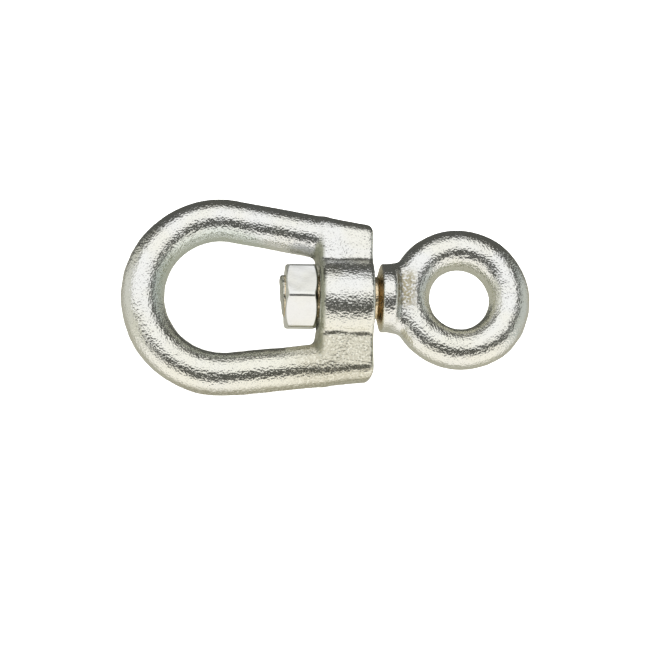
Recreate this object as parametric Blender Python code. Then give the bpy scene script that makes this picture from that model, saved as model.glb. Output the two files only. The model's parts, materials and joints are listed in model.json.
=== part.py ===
"""Eye-and-bow swivel for hanging meat hooks: a forged bow, a forged eye bolt that turns in the
bow's boss, and the hex nut that keeps it there.

The frame's origin is where the swivel hangs, on the inside of the bow's round end. +X runs from
there along the swivel axis to the eye, and +Z is square to the plane in which the bow and the eye
both lie flat. The bow is worked out from the centre of its round end, and moved out by BOW_X.
"""

import math

import bmesh
import bpy
from mathutils import Matrix, Vector

MM = 0.001

# Bow: a loop of round stock, closed by a bar that carries the boss.
STOCK_R = 6.05 * MM
BOW_R = 22.3 * MM  # centreline of the round end
BOW_TAPER = math.radians(8.0)  # each arm closes in by this angle
BAR_INNER = 26.6 * MM  # the bar's inner side, from the centre of the round end
BAR_OUTER = 42.3 * MM
BAR_FILLET = 2.5 * MM  # inside corner between an arm and the bar

# The bar's block: its flat front and back run out into round sides that carry on the arms.
BLOCK_SETBACK = 1.2 * MM  # it starts this far behind the bar's inner side
BLOCK_HALF_DEPTH = 6.3 * MM
BLOCK_SIDE_R = 4.8 * MM  # rounding of the sides, seen along X
BLOCK_CORNER = 2.6 * MM  # rounding of the outer corners, seen along Z
BLOCK_INNER_EDGE = 2.0 * MM
BLOCK_OUTER_EDGE = 1.2 * MM
BLOCK_INSET = 0.12 * MM  # from the arms' sides

# Boss, bored for the shank and spot-faced for the nut.
BOSS_R = 12.2 * MM
BOSS_PROUD = 0.1 * MM
BOSS_CHAMFER = 0.8 * MM
SPOT_R = 11.0 * MM
SPOT_DEPTH = 1.4 * MM  # from the bar's inner side
SPOT_RIM = 0.15 * MM
BORE_R = 6.5 * MM
BORE_CHAMFER = 0.7 * MM

# Eye bolt: a ring and a collar forged in one with the shank.
EYE_R = 14.5 * MM
EYE_STOCK_R = 5.8 * MM
EYE_DISTANCE = 67.6 * MM  # centre of the bow's round end to centre of the eye
COLLAR_R = 9.8 * MM
COLLAR_LENGTH = 4.7 * MM
COLLAR_CONE = 1.1 * MM  # length of the cone between shank and collar
COLLAR_GAP = 1.5 * MM  # between the boss and the cone's small end
COLLAR_FILLET = 3.8 * MM
SHANK_R = 6.0 * MM
SHOULDER_PROUD = 0.1 * MM  # the shank's full size starts this far outside the nut
NECK = 0.5 * MM  # length of the cones at the ends of the thread's core

# M12 thread. The nut's is the bolt's moved outwards by THREAD_CLEARANCE.
THREAD_PITCH = 1.75 * MM
THREAD_CREST_R = 5.85 * MM
THREAD_ROOT_R = 5.0 * MM
THREAD_CREST_WIDTH = 0.22 * MM
THREAD_SUNK = 0.3 * MM  # how far the ridge's foot reaches into the core
THREAD_CLEARANCE = 0.3 * MM
THREAD_RUNOUT = 0.4  # turns over which the bolt's ridge rises at each end
THREAD_INSET = 1.0 * MM  # from the nut's faces to the bolt's ridge

# Nut, and the end of the shank that is hammered over it.
NUT_ACROSS_FLATS = 18.0 * MM
NUT_HEIGHT = 9.0 * MM
NUT_GAP = 1.4 * MM  # between the spot face and the nut
NUT_CLOCK = math.radians(9.0)
NUT_FACE_R = 8.7 * MM  # where the corner chamfer meets the end face
NUT_CHAMFER = math.radians(30.0)
NUT_SINK_R = 6.4 * MM
PEEN_R = 6.0 * MM
PEEN_PROUD = 0.1 * MM  # the hammered end is widest this far outside the nut
PEEN_LENGTH = 0.8 * MM  # beyond that, at the axis
PEEN_SLOPE = math.tan(math.radians(6.0))  # the end is longer towards +Y
PEEN_FACE_R = 4.6 * MM
PEEN_ROUNDING = ((0.8, 0.67), (0.3, 1.0))  # shares of its length and of its spread, from the face

BOW_X = BOW_R - STOCK_R
SPOT_X = BOW_X + BAR_INNER + SPOT_DEPTH
BOSS_OUTER_X = BOW_X + BAR_OUTER + BOSS_PROUD
NUT_INNER_X = SPOT_X - NUT_GAP
NUT_OUTER_X = NUT_INNER_X - NUT_HEIGHT
PEEN_X = NUT_OUTER_X - PEEN_PROUD
CONE_X = BOSS_OUTER_X + COLLAR_GAP
EYE_X = BOW_X + EYE_DISTANCE

LOOP_SIDES = 20
RING_SIDES = 20
RING_STEPS = 52
BOW_STEPS = 16  # to a quarter of the bow's loop
BAR_FILLET_STEPS = 7
BLOCK_INNER_STEPS = 3
BLOCK_OUTER_STEPS = 7
BLOCK_SIDE_STEPS = 6
COLLAR_STEPS = 5
TURNED_SIDES = 40
NUT_CHAMFER_SIDES = 48
THREAD_STEPS = 32  # to one turn
SHARP_ANGLE = math.radians(35)
CUT = 1.0 * MM  # how far a cutter runs past what it cuts


def zinc(name, colour, roughness):
    material = bpy.data.materials.new(name)
    material.use_nodes = True
    shader = material.node_tree.nodes["Principled BSDF"]
    shader.inputs["Base Color"].default_value = (*colour, 1.0)
    shader.inputs["Metallic"].default_value = 1.0
    shader.inputs["Roughness"].default_value = roughness
    return material


def add_object(name, bm, material=None, parent=None):
    """Makes an object of bm, which is in the part's frame, and frees bm."""
    bmesh.ops.recalc_face_normals(bm, faces=bm.faces)
    mesh = bpy.data.meshes.new(name)
    bm.to_mesh(mesh)
    bm.free()
    mesh.shade_smooth()
    mesh.set_sharp_from_angle(angle=SHARP_ANGLE)
    obj = bpy.data.objects.new(name, mesh)
    bpy.context.scene.collection.objects.link(obj)
    if material:
        mesh.materials.append(material)
    if parent:
        mesh.transform(Matrix.Translation(-parent.location))
        obj.parent = parent
    return obj


def add_tool(name, bm, parent=None):
    """A shape that only cuts or adds to another object."""
    obj = add_object(name, bm, parent=parent)
    obj.hide_render = True
    obj.display_type = "WIRE"
    return obj


def boolean(obj, operation, tool):
    modifier = obj.modifiers.new(f"{operation.lower()}_{tool.name}", "BOOLEAN")
    modifier.operation = operation
    modifier.object = tool
    modifier.solver = "EXACT"


def join_rings(bm, rings, closed):
    """Quads between each ring of vertices and the next, and either caps or a joint between the ends."""
    pairs = list(zip(rings, rings[1:]))
    if closed:
        pairs.append((rings[-1], rings[0]))
    for ring, following in pairs:
        count = len(ring)
        for i in range(count):
            j = (i + 1) % count
            bm.faces.new((ring[i], ring[j], following[j], following[i]))
    if not closed:
        bm.faces.new(rings[0])
        bm.faces.new(rings[-1])


def turned(profile, sides=TURNED_SIDES):
    """A closed solid turned about the X axis from (x, radius) pairs."""
    bm = bmesh.new()
    rings = []
    for x, radius in profile:
        angles = [2 * math.pi * i / sides for i in range(sides)]
        rings.append([bm.verts.new((x, radius * math.cos(a), radius * math.sin(a))) for a in angles])
    join_rings(bm, rings, closed=False)
    return bm


def arc(centre, radius, start, end, steps):
    """Points and outward directions on an arc in the XY plane, both ends included."""
    stations = []
    for i in range(steps + 1):
        angle = start + (end - start) * i / steps
        out = Vector((math.cos(angle), math.sin(angle), 0))
        stations.append((centre + radius * out, out))
    return stations


def arm_direction():
    """The outward direction of the upper arm."""
    return Vector((math.sin(BOW_TAPER), math.cos(BOW_TAPER), 0))


def loop_stations():
    """Centreline points and outward directions round the whole bow."""
    centre = Vector((BOW_X, 0, 0))
    corner_r = BAR_FILLET + STOCK_R
    out = arm_direction()
    corner = Vector((BAR_INNER - BAR_FILLET, 0, 0))
    corner.y = (BOW_R - corner_r - out.x * corner.x) / out.y
    arm_angle = math.pi / 2 - BOW_TAPER
    upper = arc(centre, BOW_R, math.pi, arm_angle, BOW_STEPS)
    tangent = upper[-1][0]
    turn = arc(centre + corner, corner_r, arm_angle, 0, BAR_FILLET_STEPS)
    for share in (0.25, 0.5, 0.75):
        upper.append((tangent.lerp(turn[0][0], share), out))
    upper += turn
    upper.append((Vector((turn[-1][0].x, 0, 0)), Vector((1, 0, 0))))
    flip = Vector((1, -1, 1))
    lower = [(point * flip, out * flip) for point, out in reversed(upper[1:-1])]
    return upper + lower


def bow_loop():
    bm = bmesh.new()
    rings = []
    for point, out in loop_stations():
        ring = []
        for i in range(LOOP_SIDES):
            angle = 2 * math.pi * i / LOOP_SIDES
            offset = out * math.cos(angle) + Vector((0, 0, math.sin(angle)))
            ring.append(bm.verts.new(point + STOCK_R * offset))
        rings.append(ring)
    join_rings(bm, rings, closed=True)
    return bm


def rounded_rectangle(bm, x, half_width, half_depth, radius):
    """A ring of vertices square to X, with the same number at each corner."""
    radius = min(radius, half_width, half_depth)
    ring = []
    for corner, (side_y, side_z) in enumerate(((1, 1), (-1, 1), (-1, -1), (1, -1))):
        for i in range(BLOCK_SIDE_STEPS + 1):
            angle = math.pi / 2 * (corner + i / BLOCK_SIDE_STEPS)
            y = side_y * (half_width - radius) + radius * math.cos(angle)
            z = side_z * (half_depth - radius) + radius * math.sin(angle)
            ring.append(bm.verts.new((x, y, z)))
    return ring


def quarter_round(radius, distance):
    """How far a rounding of this radius cuts in, at a distance from the face it runs into."""
    inside = max(0.0, radius - distance)
    return radius - math.sqrt(radius * radius - inside * inside)


def block_half_width(x):
    """Just inside the arms' outer line, x being the distance from the centre of the round end."""
    out = arm_direction()
    return (BOW_R + STOCK_R - BLOCK_INSET - out.x * x) / out.y


def bar_block():
    inner = BAR_INNER + BLOCK_SETBACK
    stations = []
    for i in range(BLOCK_INNER_STEPS + 1):
        angle = math.pi / 2 * i / BLOCK_INNER_STEPS
        stations.append(inner + BLOCK_INNER_EDGE * (1 - math.cos(angle)))
    for i in range(BLOCK_OUTER_STEPS + 1):
        angle = math.pi / 2 * i / BLOCK_OUTER_STEPS
        stations.append(BAR_OUTER - BLOCK_CORNER * (1 - math.sin(angle)))
    bm = bmesh.new()
    rings = []
    for x in stations:
        edge = quarter_round(BLOCK_INNER_EDGE, x - inner) + quarter_round(BLOCK_OUTER_EDGE, BAR_OUTER - x)
        corner = quarter_round(BLOCK_INNER_EDGE, x - inner) + quarter_round(BLOCK_CORNER, BAR_OUTER - x)
        half_width = block_half_width(x) - corner
        rings.append(
            rounded_rectangle(bm, BOW_X + x, half_width, BLOCK_HALF_DEPTH - edge, BLOCK_SIDE_R - edge)
        )
    join_rings(bm, rings, closed=False)
    return add_tool("bar_block", bm)


def boss_profile():
    start = SPOT_X - SPOT_RIM
    return [
        (start, BOSS_R - BOSS_CHAMFER),
        (start + BOSS_CHAMFER, BOSS_R),
        (BOSS_OUTER_X - BOSS_CHAMFER, BOSS_R),
        (BOSS_OUTER_X, BOSS_R - BOSS_CHAMFER),
    ]


def bore_profile():
    wide = BORE_R + BORE_CHAMFER
    return [
        (SPOT_X - CUT, wide + CUT),
        (SPOT_X + BORE_CHAMFER, BORE_R),
        (BOSS_OUTER_X - BORE_CHAMFER, BORE_R),
        (BOSS_OUTER_X + CUT, wide + CUT),
    ]


def make_bow(material):
    bow = add_object("bow", bow_loop(), material)
    boolean(bow, "UNION", bar_block())
    boolean(bow, "UNION", add_tool("boss", turned(boss_profile())))
    spot_face = turned([(SPOT_X - SPOT_DEPTH - STOCK_R, SPOT_R), (SPOT_X, SPOT_R)])
    boolean(bow, "DIFFERENCE", add_tool("spot_face", spot_face))
    boolean(bow, "DIFFERENCE", add_tool("bore", turned(bore_profile())))
    return bow


def thread_ridge(start_x, end_x, grow=0.0, run_out=True):
    """The helical ridge of the bolt's thread, moved outwards by grow."""
    bm = bmesh.new()
    turns = (end_x - start_x) / THREAD_PITCH
    steps = round(turns * THREAD_STEPS)
    foot_r = THREAD_ROOT_R - THREAD_SUNK + grow
    flank = math.tan(math.radians(30))
    rings = []
    for i in range(steps + 1):
        turn = i / THREAD_STEPS
        height = THREAD_CREST_R - THREAD_ROOT_R
        if run_out:
            height *= min(1.0, turn / THREAD_RUNOUT, (steps / THREAD_STEPS - turn) / THREAD_RUNOUT)
        crest_r = foot_r + THREAD_SUNK + height
        full_crest_r = THREAD_CREST_R + grow
        x = start_x + turn * THREAD_PITCH
        ring = []
        for side, radius in ((-1, foot_r), (-1, crest_r), (1, crest_r), (1, foot_r)):
            half = THREAD_CREST_WIDTH / 2 + (full_crest_r - radius) * flank
            angle = 2 * math.pi * turn
            ring.append(
                bm.verts.new((x + side * half, radius * math.cos(angle), radius * math.sin(angle)))
            )
        rings.append(ring)
    join_rings(bm, rings, closed=False)
    return bm


def shank_profile():
    """From the hammered end to inside the ring, as (x, radius)."""
    shoulder_x = NUT_INNER_X + SHOULDER_PROUD
    cone_end = CONE_X + COLLAR_CONE
    collar_end = cone_end + COLLAR_LENGTH
    profile = [(PEEN_X - PEEN_LENGTH, PEEN_FACE_R)]
    for length, spread in PEEN_ROUNDING:
        profile.append((PEEN_X - PEEN_LENGTH * length, PEEN_FACE_R + (PEEN_R - PEEN_FACE_R) * spread))
    profile += [
        (PEEN_X, PEEN_R),
        (PEEN_X + NECK, THREAD_ROOT_R),
        (shoulder_x - NECK, THREAD_ROOT_R),
        (shoulder_x, SHANK_R),
        (CONE_X, SHANK_R),
        (cone_end, COLLAR_R),
        (collar_end, COLLAR_R),
    ]
    for i in range(1, COLLAR_STEPS + 1):
        angle = math.pi / 2 * i / COLLAR_STEPS
        x = collar_end + COLLAR_FILLET * (1 - math.cos(angle))
        profile.append((x, COLLAR_R - COLLAR_FILLET * math.sin(angle)))
    return profile


def eye_ring():
    bm = bmesh.new()
    rings = []
    for point, out in arc(Vector((EYE_X, 0, 0)), EYE_R, 0, 2 * math.pi, RING_STEPS)[:-1]:
        ring = []
        for i in range(RING_SIDES):
            angle = 2 * math.pi * i / RING_SIDES
            offset = out * math.cos(angle) + Vector((0, 0, math.sin(angle)))
            ring.append(bm.verts.new(point + EYE_STOCK_R * offset))
        rings.append(ring)
    join_rings(bm, rings, closed=True)
    return bm


def make_eye_bolt(material, pivot):
    bm = turned(shank_profile())
    for vert in bm.verts:
        beyond = min(0.0, vert.co.x - PEEN_X)
        vert.co.x += beyond / PEEN_LENGTH * PEEN_SLOPE * vert.co.y
    eye_bolt = add_object("eye_bolt", bm, material, pivot)
    boolean(eye_bolt, "UNION", add_tool("ring", eye_ring(), pivot))
    ridge = thread_ridge(NUT_OUTER_X + THREAD_INSET, NUT_INNER_X - THREAD_INSET)
    boolean(eye_bolt, "UNION", add_tool("bolt_thread", ridge, pivot))
    return eye_bolt


def hexagon():
    """The nut's six sides, with one corner turned NUT_CLOCK from +Z towards -Y."""
    bm = bmesh.new()
    radius = NUT_ACROSS_FLATS / math.sqrt(3)
    angles = [math.pi / 2 + NUT_CLOCK + i * math.pi / 3 for i in range(6)]
    rings = [
        [bm.verts.new((x, radius * math.cos(a), radius * math.sin(a))) for a in angles]
        for x in (NUT_OUTER_X, NUT_INNER_X)
    ]
    join_rings(bm, rings, closed=False)
    return bm


def chamfer_profile():
    """A double cone that takes off the hexagon's corners at both ends."""
    out = NUT_ACROSS_FLATS / math.sqrt(3) + CUT
    rise = (out - NUT_FACE_R) * math.tan(NUT_CHAMFER)
    return [
        (NUT_OUTER_X, NUT_FACE_R),
        (NUT_OUTER_X + rise, out),
        (NUT_INNER_X - rise, out),
        (NUT_INNER_X, NUT_FACE_R),
    ]


def tapping_profile():
    hole_r = THREAD_ROOT_R + THREAD_CLEARANCE
    sink = NUT_SINK_R - hole_r
    return [
        (NUT_OUTER_X - CUT, NUT_SINK_R + CUT),
        (NUT_OUTER_X + sink, hole_r),
        (NUT_INNER_X - sink, hole_r),
        (NUT_INNER_X + CUT, NUT_SINK_R + CUT),
    ]


def make_nut(material, pivot):
    nut = add_object("lock_nut", hexagon(), material, pivot)
    boolean(nut, "INTERSECT", add_tool("nut_chamfers", turned(chamfer_profile(), NUT_CHAMFER_SIDES), pivot))
    boolean(nut, "DIFFERENCE", add_tool("nut_hole", turned(tapping_profile()), pivot))
    start_x = NUT_OUTER_X + THREAD_INSET - THREAD_PITCH  # one turn early, in step with the bolt's
    tap = thread_ridge(start_x, NUT_INNER_X + THREAD_PITCH, THREAD_CLEARANCE, run_out=False)
    boolean(nut, "DIFFERENCE", add_tool("nut_thread", tap, pivot))
    return nut


def main():
    for obj in list(bpy.data.objects):
        bpy.data.objects.remove(obj)
    forging = zinc("zinc_forging", (0.74, 0.74, 0.70), 0.32)
    plated = zinc("zinc_nut", (0.80, 0.80, 0.77), 0.24)

    make_bow(forging)
    swivel = bpy.data.objects.new("swivel_axis", None)
    swivel.location = ((SPOT_X + BOSS_OUTER_X) / 2, 0, 0)
    bpy.context.scene.collection.objects.link(swivel)
    make_eye_bolt(forging, swivel)
    make_nut(plated, swivel)


main()
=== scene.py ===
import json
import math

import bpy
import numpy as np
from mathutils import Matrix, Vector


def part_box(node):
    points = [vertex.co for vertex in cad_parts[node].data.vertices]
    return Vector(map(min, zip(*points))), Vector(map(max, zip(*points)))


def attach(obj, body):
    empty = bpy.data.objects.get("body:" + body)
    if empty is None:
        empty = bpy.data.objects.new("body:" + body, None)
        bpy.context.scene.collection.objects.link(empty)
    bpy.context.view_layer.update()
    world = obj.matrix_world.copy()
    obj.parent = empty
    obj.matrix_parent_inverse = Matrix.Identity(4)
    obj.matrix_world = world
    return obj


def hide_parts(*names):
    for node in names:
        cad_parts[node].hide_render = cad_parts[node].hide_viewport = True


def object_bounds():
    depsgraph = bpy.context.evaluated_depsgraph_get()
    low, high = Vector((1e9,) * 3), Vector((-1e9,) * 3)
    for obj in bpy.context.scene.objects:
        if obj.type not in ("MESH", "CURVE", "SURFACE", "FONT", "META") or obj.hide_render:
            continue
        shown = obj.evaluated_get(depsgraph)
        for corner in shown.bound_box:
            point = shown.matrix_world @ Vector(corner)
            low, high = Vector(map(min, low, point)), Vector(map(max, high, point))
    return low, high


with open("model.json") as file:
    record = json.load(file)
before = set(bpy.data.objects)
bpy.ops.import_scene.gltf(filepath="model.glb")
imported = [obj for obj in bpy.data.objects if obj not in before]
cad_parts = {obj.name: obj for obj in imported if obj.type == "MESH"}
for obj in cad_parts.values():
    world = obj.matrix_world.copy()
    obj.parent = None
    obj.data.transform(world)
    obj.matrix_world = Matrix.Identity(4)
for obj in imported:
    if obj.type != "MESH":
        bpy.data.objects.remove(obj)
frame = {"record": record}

# The looks of the eye-and-bow swivel: each of its three pieces is a fine mesh on the surface of a
# signed-distance shape, so the forged fillets and rounded edges are real, with the unevenness of a
# forging pressed into it, and a zinc-plated material. The CAD nodes give the places and main sizes.
# +X runs along the shank to the eye, and +Z is square to the plane of the bow and the eye.

import openvdb
from mathutils import Matrix, Vector

MM = 0.001
CAD_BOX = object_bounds()
CENTRE = (CAD_BOX[0] + CAD_BOX[1]) / 2
BOW_LOW, BOW_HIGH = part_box("bow")
BOLT_LOW, BOLT_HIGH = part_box("eye_bolt")
NUT_LOW, NUT_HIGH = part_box("lock_nut")
MOUNTS = {mount["name"]: mount for mount in frame["record"]["mounts"]}

# Bow: a loop of round stock. Its straight end, the bar, is forged into a block with a round boss.
STOCK_R = 6.05 * MM
BOW_R = BOW_HIGH.y - STOCK_R  # centreline of the round end
BOW_X = BOW_LOW.x + BOW_R + STOCK_R  # centre of the round end
BOW_TAPER = math.radians(8.0)
BOW_SKEW = 0.029  # how far both arms lean to -Y beside the boss's axis, as a slope
BAR_OUTER_X = BOW_HIGH.x
BAR_INNER_X = BOW_X + 26.6 * MM
BAR_FILLET = 2.5 * MM  # inside the loop, where an arm meets the bar
BLOCK_HALF_DEPTH = MOUNTS["bar_front_face"]["pos_m"][2]
BLOCK_INNER_X = BAR_INNER_X + 0.4 * MM
BLOCK_INSET = 0.3 * MM  # how far the block's sides stay inside the outline of the arms
BLOCK_SIDE_R = 4.8 * MM  # rounding between its flat faces and its sides
BLOCK_CORNER_R = 2.6 * MM  # rounding of its outer corners, seen square to the flat faces
BLOCK_INNER_R = 2.4 * MM  # rounding of the edges of its inner end
BLOCK_OUTER_R = 1.1 * MM  # rounding of the edges of its outer end
BLOCK_FILLET = 1.2 * MM  # between the block and the round stock
BOSS_R = BOW_HIGH.z
BOSS_Y = -0.45 * MM  # the forged boss is this far off its bore
BOSS_FILLET = 0.9 * MM  # between the boss and the flat of the block
SPOT_R = 9.6 * MM  # the face that is cut for the nut
SPOT_X = BAR_INNER_X + 1.4 * MM
SPOT_EDGE_R = 0.4 * MM
BORE_R = 6.5 * MM
BORE_CHAMFER = 0.7 * MM
BOW_CELL = 0.36 * MM
BOW_SEED = 11

# Nut
NUT_AXIS = MOUNTS["nut_spanner_flat"]["axis"]
NUT_APOTHEM = math.hypot(*MOUNTS["nut_spanner_flat"]["pos_m"][1:])
NUT_FACE_R = 8.7 * MM  # of the round face that the chamfer leaves
NUT_CHAMFER = math.radians(30)
NUT_EDGE_R = 0.3 * MM
NUT_CORNER_R = 0.7 * MM
NUT_SINK_R = 6.4 * MM  # mouth of the countersunk hole
NUT_BUMP = (0.012 * MM, 4 * MM)  # height and wavelength
NUT_CELL = 0.16 * MM
NUT_SEED = 31

# Eye bolt
EYE_STOCK_R = 5.8 * MM
EYE_R = BOLT_HIGH.y - EYE_STOCK_R  # centreline of the ring
EYE_X = BOLT_HIGH.x - EYE_R - EYE_STOCK_R
COLLAR_R = BOLT_HIGH.z
COLLAR_START_X = BAR_OUTER_X + 2.6 * MM
COLLAR_END_X = COLLAR_START_X + 4.2 * MM
COLLAR_CONE = 1.1 * MM  # length of the cone from the shank up to the collar
COLLAR_START_R = 0.5 * MM  # rounding of its edge at the cone
COLLAR_END_R = 1.4 * MM  # rounding of its edge at the neck
NECK_FILLET = 3.0 * MM  # between the collar and the ring
SHANK_R = 6.0 * MM
SHANK_FILLET = 0.3 * MM
BOLT_Y = 0.4 * MM  # the shank rests near the side of its loose bore
CONE_X = COLLAR_START_X - COLLAR_CONE
PEEN_X = NUT_LOW.x - 0.9 * MM  # the hammered face, on the axis
PEEN_SLOPE = math.tan(math.radians(6.0))
PEEN_EDGE_R = 0.8 * MM
PEEN_BUMP = (0.05 * MM, 2.5 * MM)  # height and wavelength of the hammer's dents
EYE_CELL = 0.29 * MM
EYE_SEED = 23
PEEN_SEED = 29

# Thread, M12
THREAD_PITCH = 1.75 * MM
THREAD_CREST_R = 5.85 * MM
THREAD_DEPTH = 0.85 * MM
THREAD_FLAT = 0.1  # share of the half pitch that is flat, at the crest and at the root
THREAD_CLEARANCE = 0.3 * MM
THREAD_START_X = NUT_LOW.x + 0.5 * MM
THREAD_END_X = NUT_HIGH.x - 0.3 * MM

# Forged skin: the height and wavelength of its bumps, and the seam where the dies met
BUMPS = ((0.035 * MM, 11 * MM), (0.009 * MM, 3.2 * MM), (0.007 * MM, 1.5 * MM))
SEAM_HEIGHT = 0.09 * MM
SEAM_HALF_WIDTH = 0.45 * MM
SEAM_WAVE = 5 * MM  # wavelength of the changes in the seam's height
MACHINED_BUMPS = 0.1  # what is left of the bumps where the bow is cut

# Zinc plating: its colours, and the tints that are painted over it in this order. The warm tint is a
# painted reflection of the pale floor, green and olive are painted shade, and brassy is the colour of
# the turned and cut metal
ZINC = (0.87, 0.875, 0.865, 1)
WARM_ZINC = (0.87, 0.85, 0.72, 1)
TINTS = {
    "warm_reflection": WARM_ZINC,
    "green_shade": (0.66, 0.74, 0.68, 1),
    "brassy": (0.86, 0.69, 0.43, 1),
    "olive_shade": (0.36, 0.37, 0.29, 1),
}
# Brown of forging scale, and of painted shade along the bow's underside
SCALE_AND_SHADE_BROWN = (0.44, 0.40, 0.28, 1)
ROUGHNESS = 0.16
BROWN_ROUGHER = 0.15  # what full brown adds to the roughness
FORGED_GRAIN = 0.13 * MM  # height of the grain
FORGED_SPECK = 0.88  # brightness that is left in the specks
NUT_GRAIN = 0.012 * MM
NUT_SPECK = 0.97
CLOUD_SIZE = 9 * MM  # of the straw-coloured clouds
PATCH_SIZE = 3 * MM  # of the duller patches
DIMPLE_SIZE = 1.1 * MM  # of the dimples that blasting leaves
FLECK_SIZE = 0.7 * MM  # of the flecks of brown
GRAIN_SIZE = 0.55 * MM  # of the fine grain and its specks

# Studio. A card has a colour, and the ranges of directions from the metal in which it stands: which
# part of the direction, where the card ends and where it is full. Across and along are x/z and y/z.
DARK = (0.095, 0.096, 0.088, 1)
LEFT_CARD = ((0.68, 0.68, 0.61, 1), (("x", -0.65, -0.85), ("z", 0.65, 0.45)))
RIGHT_CARD = ((0.54, 0.57, 0.54, 1), (("x", 0.72, 0.9), ("z", 0.65, 0.4)))
FRONT_CARD = ((1.03, 1.01, 0.97, 1), (("y", -0.2, -0.6), ("z", 0.68, 0.56)))
FLOOR_CARD = ((0.48, 0.47, 0.40, 1), (("z", -0.22, -0.52), ("y", 0.6, 0.2)))
PANEL_RANGES = (
    ("across", -1.9, -1.2),
    ("across", 0.95, 0.52),
    ("along", -0.20, -0.01),
    ("along", 3.0, 1.0),
    ("z", 0.0, 0.1),
)
PANEL = ((1.04, 1.04, 1.03, 1), PANEL_RANGES)
CARDS = (LEFT_CARD, RIGHT_CARD, FRONT_CARD, FLOOR_CARD, PANEL)  # each is laid over those before it
LOWEST_Z = 0.02  # so that across and along stay finite
BACKDROP = (1.0, 1.0, 1.0, 1)
FLOOR_HALF = 3.0
FLOOR_DROP = 60 * MM  # how far it is below the part, so that the part's shadow is faint
FLOOR_COLOUR = (0.95, 0.95, 0.94, 1)
FLOOR_ROUGHNESS = 0.9
FLOOR_SHINE = 0.1
FLOOR_LIGHT = 6.5
FLOOR_LIGHT_ANGLE = math.radians(70)
FLOOR_LIGHT_FROM = Vector((0.2, 0.3, 1.2))

# Camera
CAMERA_AZIMUTH = math.radians(-20)
CAMERA_ELEVATION = math.radians(77)
CAMERA_ROLL = math.radians(0.1)
CAMERA_DISTANCE = 434 * MM
CAMERA_TARGET = CENTRE + Vector((-0.6 * MM, -7.7 * MM, 0))
CAMERA_LENS = 85

# Meshing
COARSE = 1.0
NEWTON_STEPS = 3  # that bring a mesh's points onto the surface
LEAST_STEEPNESS = 0.1  # for the places where the slope vanishes


# Signed distances: negative inside, and each takes arrays of x, y and z.

def round_and(a, b, radius):
    """What two solids share, with the edge between them rounded."""
    outside = np.hypot(np.maximum(a + radius, 0), np.maximum(b + radius, 0))
    return np.minimum(np.maximum(a, b), -radius) + outside


def round_or(a, b, radius):
    """Two solids together, with a fillet in the corner between them."""
    return -round_and(-a, -b, radius)


def segment_distance(x, y, start, end):
    along = end - start
    share = ((x - start.x) * along.x + (y - start.y) * along.y) / along.length_squared
    share = np.clip(share, 0, 1)
    return np.hypot(x - start.x - share * along.x, y - start.y - share * along.y)


def arc_distance(x, y, centre, radius, start, end):
    """Distance from an arc, and infinity outside the angle that it covers."""
    angle = np.arctan2(y - centre.y, x - centre.x)
    distance = np.abs(np.hypot(x - centre.x, y - centre.y) - radius)
    return np.where((angle >= start) & (angle <= end), distance, np.inf)


def loop_distance(x, y):
    """Distance, in the plane of the bow, from the centreline of its stock."""
    y = np.abs(y)
    out = Vector((math.sin(BOW_TAPER), math.cos(BOW_TAPER)))
    turn = math.pi / 2 - BOW_TAPER
    centre = Vector((BOW_X, 0))
    corner_r = BAR_FILLET + STOCK_R
    corner = Vector((BAR_INNER_X - BAR_FILLET, 0))
    corner.y = (BOW_R - corner_r - out.x * (corner.x - BOW_X)) / out.y
    bar_x = corner.x + corner_r
    return np.minimum.reduce([
        arc_distance(x, y, centre, BOW_R, turn, math.pi),
        segment_distance(x, y, centre + BOW_R * out, corner + corner_r * out),
        arc_distance(x, y, corner, corner_r, 0, turn),
        segment_distance(x, y, Vector((bar_x, corner.y)), Vector((bar_x, 0))),
    ])


def block_shape(x, y, arm_y, z):
    """The flat-faced block at the bow's straight end, with its boss and no bore."""
    side = (x - BOW_X) * math.sin(BOW_TAPER) + np.abs(arm_y) * math.cos(BOW_TAPER)
    side = side - BOW_R - STOCK_R + BLOCK_INSET
    face = np.abs(z) - BLOCK_HALF_DEPTH
    outer = x - BAR_OUTER_X
    inner = BLOCK_INNER_X - x
    boss = np.hypot(y - BOSS_Y, z) - BOSS_R
    block = round_or(boss, round_and(side, face, BLOCK_SIDE_R), BOSS_FILLET)
    block = round_and(block, outer, BLOCK_OUTER_R)
    block = np.maximum(block, round_and(side, outer, BLOCK_CORNER_R))
    return round_and(block, inner, BLOCK_INNER_R)


def bow_shape(x, y, z):
    radius = np.hypot(y, z)
    beside_boss = np.clip(np.abs(y) / BOSS_R, 0, 1)
    arm_y = y + BOW_SKEW * np.maximum(x - BOW_X, 0) * beside_boss
    loop = np.hypot(loop_distance(x, arm_y), z) - STOCK_R
    body = round_or(loop, block_shape(x, y, arm_y, z), BLOCK_FILLET)

    # The cuts for the shank and the nut stop inside the loop, short of the bow's round end.
    stop = BAR_INNER_X - 2 * BORE_CHAMFER - x
    spot_face = np.maximum(np.maximum(radius - SPOT_R, x - SPOT_X), stop)
    body = round_and(body, -spot_face, SPOT_EDGE_R)
    depth = np.minimum(x - SPOT_X, BAR_OUTER_X - x)
    chamfer = np.clip(BORE_CHAMFER - depth, 0, BORE_CHAMFER)
    return np.maximum(body, -np.maximum(radius - BORE_R - chamfer, stop))


def thread_radius(x, y, z, grow=0.0):
    """The radius of a right-hand thread, at any point's angle round the X axis."""
    turn = np.arctan2(z, y) / (2 * math.pi)
    ridge = np.abs(((x - NUT_LOW.x) / THREAD_PITCH - turn) % 1.0 - 0.5) * 2
    depth = np.clip((ridge - THREAD_FLAT) / (1 - 2 * THREAD_FLAT), 0, 1)
    return THREAD_CREST_R + grow - THREAD_DEPTH * depth


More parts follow.
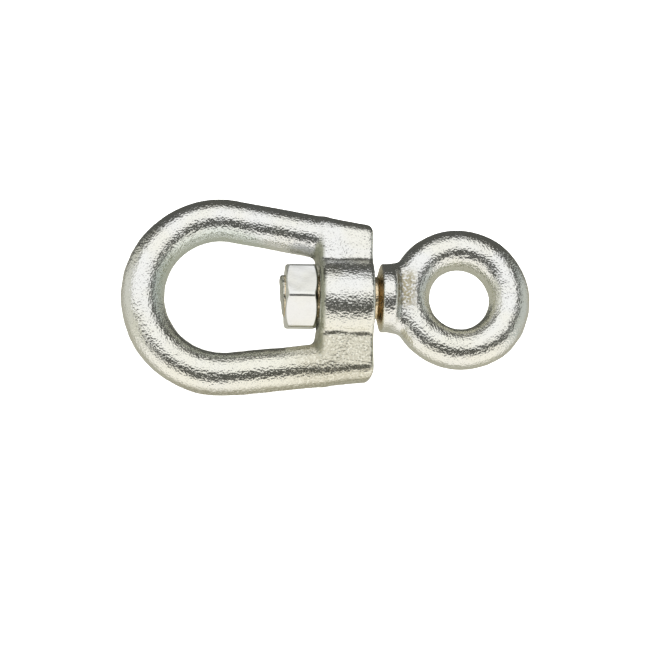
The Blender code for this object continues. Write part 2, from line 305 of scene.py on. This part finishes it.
def nut_shape(x, y, z):
    radius = np.hypot(y, z)
    clock = math.atan2(NUT_AXIS[2], NUT_AXIS[1])
    angles = [clock + i * math.pi / 3 for i in range(6)]
    flats = [y * math.cos(angle) + z * math.sin(angle) - NUT_APOTHEM for angle in angles]
    nut = flats[0]
    for flat in flats[1:]:
        nut = round_and(nut, flat, NUT_CORNER_R)
    end = np.maximum(NUT_LOW.x - x, x - NUT_HIGH.x)
    cone = (radius - NUT_FACE_R) * math.sin(NUT_CHAMFER) + end * math.cos(NUT_CHAMFER)
    nut = round_and(nut, cone, NUT_EDGE_R)
    nut = round_and(nut, end, NUT_EDGE_R)
    hole = thread_radius(x, y, z, THREAD_CLEARANCE) - radius
    sink = (NUT_SINK_R + end - radius) * math.sqrt(0.5)  # at 45 degrees
    return np.maximum(nut, np.maximum(hole, sink))


def eye_bolt_shape(x, y, z):
    radius = np.hypot(y, z)
    ring = np.hypot(np.hypot(x - EYE_X, y) - EYE_R, z) - EYE_STOCK_R

    rise = math.atan2(COLLAR_R - SHANK_R, COLLAR_CONE)
    cone = (radius - SHANK_R) * math.cos(rise) - (x - CONE_X) * math.sin(rise)
    collar = round_and(radius - COLLAR_R, cone, COLLAR_START_R)
    collar = round_and(collar, x - COLLAR_END_X, COLLAR_END_R)
    head = round_or(ring, collar, NECK_FILLET)

    threaded = (x > THREAD_START_X) & (x < THREAD_END_X)
    shank_r = np.where(threaded, thread_radius(x, y, z), SHANK_R)
    peen = (PEEN_X - PEEN_SLOPE * y - x) * math.cos(math.atan(PEEN_SLOPE))
    shank = round_and(radius - shank_r, peen, PEEN_EDGE_R)
    shank = np.maximum(shank, x - COLLAR_END_X)
    return round_or(head, shank, SHANK_FILLET)


# Meshes

def slope_of(shape, points, step):
    """The gradient of a shape's distance at each point."""
    slope = np.empty_like(points)
    for axis in range(3):
        ahead = points.copy()
        behind = points.copy()
        ahead[:, axis] += step
        behind[:, axis] -= step
        slope[:, axis] = (shape(*ahead.T) - shape(*behind.T)) / (2 * step)
    return slope


def surface(shape, low, high, cell):
    """Points and quads on a shape's surface, about one quad to a cell, and the points' normals."""
    margin = 4 * cell
    axes = [np.arange(low[i] - margin, high[i] + margin, cell) for i in range(3)]
    y, z = np.meshgrid(axes[1], axes[2], indexing="ij")
    field = np.stack([shape(np.full_like(y, x), y, z) for x in axes[0]])
    grid = openvdb.FloatGrid()
    grid.copyFromArray((field / cell).astype(np.float32))
    points, quads = grid.convertToQuads()
    points = points.astype(np.float64) * cell + [axis[0] for axis in axes]
    for _ in range(NEWTON_STEPS):
        slope = slope_of(shape, points, cell / 20)
        steepness = np.maximum((slope * slope).sum(axis=1), LEAST_STEEPNESS)
        points -= slope * (shape(*points.T) / steepness)[:, None]
    slope = slope_of(shape, points, cell / 4)
    return points, quads, slope / np.linalg.norm(slope, axis=1)[:, None]


def ripple(points, height, wavelength, seed, waves=30):
    """Smooth random bumps of about this height and wavelength."""
    rng = np.random.default_rng(seed)
    direction = rng.normal(size=(waves, 3))
    direction /= np.linalg.norm(direction, axis=1)[:, None]
    frequency = 2 * math.pi / wavelength * rng.uniform(0.7, 1.3, waves)
    phase = rng.uniform(0, 2 * math.pi, waves)
    total = np.sin(points @ (direction * frequency[:, None]).T + phase).sum(axis=1)
    return height * (total * math.sqrt(2 / waves))


def smooth_step(value, low, high):
    """Rises smoothly from 0 at low to 1 at high."""
    share = np.clip((value - low) / (high - low), 0, 1)
    return share * share * (3 - 2 * share)


def unevenness(points, normals, seed, forged):
    """How far a forging's skin stands out, where forged is 1, with the seam that its dies leave."""
    height = sum(ripple(points, *bumps, seed + i) for i, bumps in enumerate(BUMPS))
    flank = smooth_step(1 - np.abs(normals[:, 2]), 0.3, 0.8)
    seam = np.exp(-(points[:, 2] / SEAM_HALF_WIDTH) ** 2) * flank
    height += SEAM_HEIGHT * seam * (1 + ripple(points, 0.5, SEAM_WAVE, seed + len(BUMPS)))
    return height * forged


def add_piece(name, points, quads, body, material, node):
    """A mesh that rides on the body, takes its finish from the slot and stands for the node."""
    mesh = bpy.data.meshes.new(name)
    mesh.from_pydata(points, [], quads)
    mesh.shade_smooth()
    mesh.materials.append(material)
    obj = bpy.data.objects.new(name, mesh)
    bpy.context.scene.collection.objects.link(obj)
    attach(obj, body)
    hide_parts(node)
    return obj


def paint(obj, name, values):
    """Stores a value between 0 and 1 at each point, for the material to read."""
    attribute = obj.data.attributes.new(name, "FLOAT", "POINT")
    attribute.data.foreach_set("value", np.clip(values, 0, 1).astype(np.float32))


# Materials

def add_node(tree, kind, **settings):
    node = tree.nodes.new(kind)
    for name, value in settings.items():
        setattr(node, name, value)
    return node


def connect(tree, value, socket):
    """Links value to the socket, or sets the socket to it."""
    if isinstance(value, bpy.types.NodeSocket):
        tree.links.new(value, socket)
    else:
        socket.default_value = value


def maths(tree, operation, a, b):
    node = add_node(tree, "ShaderNodeMath", operation=operation)
    connect(tree, a, node.inputs[0])
    connect(tree, b, node.inputs[1])
    return node.outputs[0]


def remap(tree, value, low, high, to_low=0.0, to_high=1.0):
    """Maps low..high smoothly to to_low..to_high."""
    node = add_node(tree, "ShaderNodeMapRange", interpolation_type="SMOOTHSTEP")
    connect(tree, value, node.inputs["Value"])
    node.inputs["From Min"].default_value = low
    node.inputs["From Max"].default_value = high
    node.inputs["To Min"].default_value = to_low
    node.inputs["To Max"].default_value = to_high
    return node.outputs["Result"]


def mix_colour(tree, share, first, second, blend="MIX"):
    node = add_node(tree, "ShaderNodeMix", data_type="RGBA", blend_type=blend)
    connect(tree, share, node.inputs["Factor"])
    connect(tree, first, node.inputs["A"])
    connect(tree, second, node.inputs["B"])
    return node.outputs["Result"]


def noise(tree, place, wavelength, detail=2.0):
    node = add_node(tree, "ShaderNodeTexNoise")
    tree.links.new(place, node.inputs["Vector"])
    node.inputs["Scale"].default_value = 1 / wavelength
    node.inputs["Detail"].default_value = detail
    return node.outputs["Fac"]


def painted(tree, name):
    return add_node(tree, "ShaderNodeAttribute", attribute_name=name).outputs["Fac"]


def bump(tree, height, distance, normal=None):
    node = add_node(tree, "ShaderNodeBump")
    node.inputs["Distance"].default_value = distance
    connect(tree, height, node.inputs["Height"])
    if normal:
        tree.links.new(normal, node.inputs["Normal"])
    return node.outputs["Normal"]


def zinc(name, grain, speck):
    """Zinc plating with straw-coloured clouds, painted tints (a painted warm reflection, painted shade
    in green, olive and brown, brass, and brown scale), grain of that height, and specks that dull it to
    speck.
    """
    material = bpy.data.materials.new(name)
    material.use_nodes = True
    tree = material.node_tree
    shader = tree.nodes["Principled BSDF"]
    shader.inputs["Metallic"].default_value = 1.0
    place = add_node(tree, "ShaderNodeTexCoord").outputs["Object"]

    clouds = noise(tree, place, CLOUD_SIZE)
    colour = mix_colour(tree, remap(tree, clouds, 0.35, 0.7, 0.0, 0.45), ZINC, WARM_ZINC)
    # The painted tints: a painted warm reflection, painted green and olive shade, and the brass of the
    # turned and cut metal
    for tint_name, tint in TINTS.items():
        colour = mix_colour(tree, painted(tree, tint_name), colour, tint)
    # Brown flecks: forging scale, and painted shade where the underside is painted
    flecks = remap(tree, noise(tree, place, FLECK_SIZE), 0.32, 0.56)
    brown_scale_and_shade = maths(tree, "MULTIPLY", painted(tree, "brown_scale_and_shade"), flecks)
    colour = mix_colour(tree, brown_scale_and_shade, colour, SCALE_AND_SHADE_BROWN)
    fine = noise(tree, place, GRAIN_SIZE, detail=1)
    specks = remap(tree, fine, 0.28, 0.45, speck, 1.0)
    colour = mix_colour(tree, 1.0, colour, specks, "MULTIPLY")
    tree.links.new(colour, shader.inputs["Base Color"])

    patches = noise(tree, place, PATCH_SIZE, detail=3)
    dull = remap(tree, patches, 0.3, 0.7, ROUGHNESS - 0.03, ROUGHNESS + 0.05)
    rougher = maths(tree, "MULTIPLY", painted(tree, "brown_scale_and_shade"), BROWN_ROUGHER)
    tree.links.new(maths(tree, "ADD", dull, rougher), shader.inputs["Roughness"])
    dimples = bump(tree, noise(tree, place, DIMPLE_SIZE, detail=1), 0.6 * grain)
    tree.links.new(bump(tree, fine, grain, dimples), shader.inputs["Normal"])
    return material


# Pieces

def paint_bow(bow, points, normals, machined):
    """A painted warm reflection low down, painted green shade inside the round end, brass where
    machined, painted olive shade on the bar's inner side, and brown scale on the lower flat with painted
    brown shade along the underside.
    """
    x, y, _ = points.T
    low = smooth_step(-y, -4 * MM, 16 * MM)
    near_bar = smooth_step(x, BOW_X - 6 * MM, BAR_INNER_X)
    # Painted warm reflection of the pale floor: the lower side, more so towards the bar, tinted warm
    paint(bow, "warm_reflection", 0.85 * low * (0.45 + 0.55 * near_bar))

    # Painted shade, tinted green, on the inner side of the round end towards the upper left
    inward = smooth_step(BOW_R - np.hypot(x - BOW_X, y), 1.5 * MM, 5 * MM)
    upper_left = smooth_step(y - 0.6 * (x - BOW_X), -2 * MM, 12 * MM)
    paint(bow, "green_shade", 0.6 * inward * upper_left * (x < BAR_INNER_X))
    paint(bow, "brassy", 0.45 * machined)

    at_bar = smooth_step(x, BAR_INNER_X - 4 * MM, BAR_INNER_X)
    # Painted shade, tinted olive, on the faces of the bar's inner side that look back into the loop
    paint(bow, "olive_shade", 0.9 * at_bar * smooth_step(-normals[:, 0], 0.15, 0.6))

    by_bar = smooth_step(x, BAR_INNER_X - 12 * MM, BAR_INNER_X)
    # Brown scale on the lower flat by the bar, and painted shade, tinted brown, on the faces that look
    # down along the underside
    low_flat = smooth_step(-y, 10 * MM, 12 * MM) * by_bar
    underside = smooth_step(-y, 12 * MM, 18 * MM) * smooth_step(-normals[:, 1], 0.7, 0.97)
    paint(bow, "brown_scale_and_shade", np.maximum(0.45 * low_flat, 0.5 * underside))


def make_bow():
    points, quads, normals = surface(bow_shape, BOW_LOW, BOW_HIGH, BOW_CELL * COARSE)
    x, y, z = points.T
    radius = np.hypot(y, z)
    in_bar = x > BAR_INNER_X - 1 * MM
    bored = in_bar & (radius < BORE_R + 1 * MM)
    faced = in_bar & (x < SPOT_X + 0.1 * MM) & (radius < SPOT_R)
    machined = bored | faced
    forged = np.where(machined, MACHINED_BUMPS, 1.0)
    points += normals * unevenness(points, normals, BOW_SEED, forged)[:, None]
    material = zinc("zinc_forging_bow", FORGED_GRAIN, FORGED_SPECK)
    bow = add_piece("bow_forging", points, quads, "bow", material, "bow")
    paint_bow(bow, points, normals, machined)


def paint_eye_bolt(bolt, points, hammered):
    """Brass on the turned shank, painted olive shade on its cone and hammered end, brown scale on the
    neck, and a painted warm reflection low down and in the hole, with a little painted green shade.
    """
    x, y, _ = points.T
    turned = 1 - smooth_step(x, COLLAR_START_X - 0.6 * MM, COLLAR_START_X + 0.2 * MM)
    paint(bolt, "brassy", 0.85 * turned * (1 - hammered))
    cone = smooth_step(x, CONE_X - 0.2 * MM, CONE_X + 0.2 * MM) * turned
    # Painted shade, tinted olive, on the cone under the collar and on the hammered end
    paint(bolt, "olive_shade", np.maximum(0.2 * cone, 0.6 * hammered))

    ring_x = EYE_X - EYE_R
    neck = smooth_step(x, COLLAR_END_X - 1.2 * MM, COLLAR_END_X + 0.6 * MM)
    neck *= 1 - smooth_step(x, ring_x - 0.5 * MM, ring_x + 2.8 * MM)
    neck *= 1 - smooth_step(np.abs(y - 2 * MM), 3 * MM, 7 * MM)
    paint(bolt, "brown_scale_and_shade", neck)

    inward = EYE_R - np.hypot(x - EYE_X, y)
    hole = smooth_step(inward, 2 * MM, 5.5 * MM)
    # Painted warm reflection of the pale floor, low down and on the inner side of the hole
    paint(bolt, "warm_reflection", 0.4 * smooth_step(-y, 0, 18 * MM) + 0.5 * hole)
    # Painted shade, tinted green, on the innermost wall of the hole
    paint(bolt, "green_shade", 0.3 * smooth_step(inward, 4.5 * MM, 6 * MM))


def make_eye_bolt():
    points, quads, normals = surface(eye_bolt_shape, BOLT_LOW, BOLT_HIGH, EYE_CELL * COARSE)
    x = points[:, 0]
    forged = smooth_step(x, COLLAR_START_X, COLLAR_START_X + 2 * MM)
    hammered = smooth_step(NUT_LOW.x - x, 0, 0.5 * MM)
    height = unevenness(points, normals, EYE_SEED, forged)
    height += hammered * ripple(points, *PEEN_BUMP, PEEN_SEED)
    points += normals * height[:, None]
    points[:, 1] += BOLT_Y
    material = zinc("zinc_forging_eye", FORGED_GRAIN, FORGED_SPECK)
    bolt = add_piece("eye_forging", points, quads, "eye_bolt", material, "eye_bolt")
    paint_eye_bolt(bolt, points, hammered)


def make_nut():
    points, quads, normals = surface(nut_shape, NUT_LOW, NUT_HIGH, NUT_CELL * COARSE)
    points += normals * ripple(points, *NUT_BUMP, NUT_SEED)[:, None]
    points[:, 1] += BOLT_Y
    material = zinc("zinc_nut_plated", NUT_GRAIN, NUT_SPECK)
    add_piece("hex_nut", points, quads, "eye_bolt", material, "lock_nut")


# Studio

def make_floor():
    """A plain pale floor, which the metal doesn't mirror: the world lights it from below the horizon."""
    level = CAD_BOX[0].z - FLOOR_DROP
    corners = [(x * FLOOR_HALF, y * FLOOR_HALF, level) for x, y in ((-1, -1), (1, -1), (1, 1), (-1, 1))]
    mesh = bpy.data.meshes.new("floor")
    mesh.from_pydata(corners, [], [(0, 1, 2, 3)])
    floor = bpy.data.objects.new("floor", mesh)
    bpy.context.scene.collection.objects.link(floor)
    material = bpy.data.materials.new("floor_paper")
    material.use_nodes = True
    shader = material.node_tree.nodes["Principled BSDF"]
    shader.inputs["Base Color"].default_value = FLOOR_COLOUR
    shader.inputs["Roughness"].default_value = FLOOR_ROUGHNESS
    shader.inputs["Specular IOR Level"].default_value = FLOOR_SHINE
    mesh.materials.append(material)
    floor.visible_glossy = False


def make_world():
    """A ceiling panel towards the back, cards in front, at the sides and below, and dark elsewhere."""
    world = bpy.data.worlds.new("studio")
    bpy.context.scene.world = world
    world.use_nodes = True
    tree = world.node_tree
    split = add_node(tree, "ShaderNodeSeparateXYZ")
    tree.links.new(add_node(tree, "ShaderNodeTexCoord").outputs["Generated"], split.inputs[0])
    x, y, z = split.outputs
    height = maths(tree, "MAXIMUM", z, LOWEST_Z)
    across = maths(tree, "DIVIDE", x, height)
    along = maths(tree, "DIVIDE", y, height)
    direction = {"x": x, "y": y, "z": z, "across": across, "along": along}

    colour = DARK
    for card_colour, ranges in CARDS:
        share = 1.0
        for part, end, full in ranges:
            share = maths(tree, "MULTIPLY", share, remap(tree, direction[part], end, full))
        colour = mix_colour(tree, share, colour, card_colour)
    to_camera = add_node(tree, "ShaderNodeLightPath").outputs["Is Camera Ray"]
    colour = mix_colour(tree, to_camera, colour, BACKDROP)
    tree.links.new(colour, tree.nodes["Background"].inputs["Color"])


def add_floor_light():
    """A wide soft light for the floor alone: the metal mirrors the world and not this."""
    light = bpy.data.lights.new("floor_light", "SUN")
    light.energy = FLOOR_LIGHT
    light.angle = FLOOR_LIGHT_ANGLE
    obj = bpy.data.objects.new("floor_light", light)
    obj.rotation_euler = FLOOR_LIGHT_FROM.to_track_quat("Z", "Y").to_euler()
    obj.visible_glossy = False
    bpy.context.scene.collection.objects.link(obj)


def add_camera():
    """A long lens, high over the bow's side of the part, with +Y up in the picture."""
    flat = math.cos(CAMERA_ELEVATION)
    back = Vector((
        math.sin(CAMERA_AZIMUTH) * flat,
        -math.cos(CAMERA_AZIMUTH) * flat,
        math.sin(CAMERA_ELEVATION),
    ))
    right = Vector((0, 1, 0)).cross(back).normalized()
    turn = Matrix((right, back.cross(right), back)).transposed().to_4x4()
    roll = Matrix.Rotation(CAMERA_ROLL, 4, "Z")
    camera = bpy.data.cameras.new("camera")
    camera.lens = CAMERA_LENS
    camera.clip_start = 0.01
    obj = bpy.data.objects.new("camera", camera)
    obj.matrix_world = Matrix.Translation(CAMERA_TARGET + CAMERA_DISTANCE * back) @ turn @ roll
    bpy.context.scene.collection.objects.link(obj)
    bpy.context.scene.camera = obj


def main():
    make_bow()
    make_eye_bolt()
    make_nut()
    make_floor()
    make_world()
    add_floor_light()
    add_camera()
    bpy.context.scene.view_settings.view_transform = "Standard"


main()
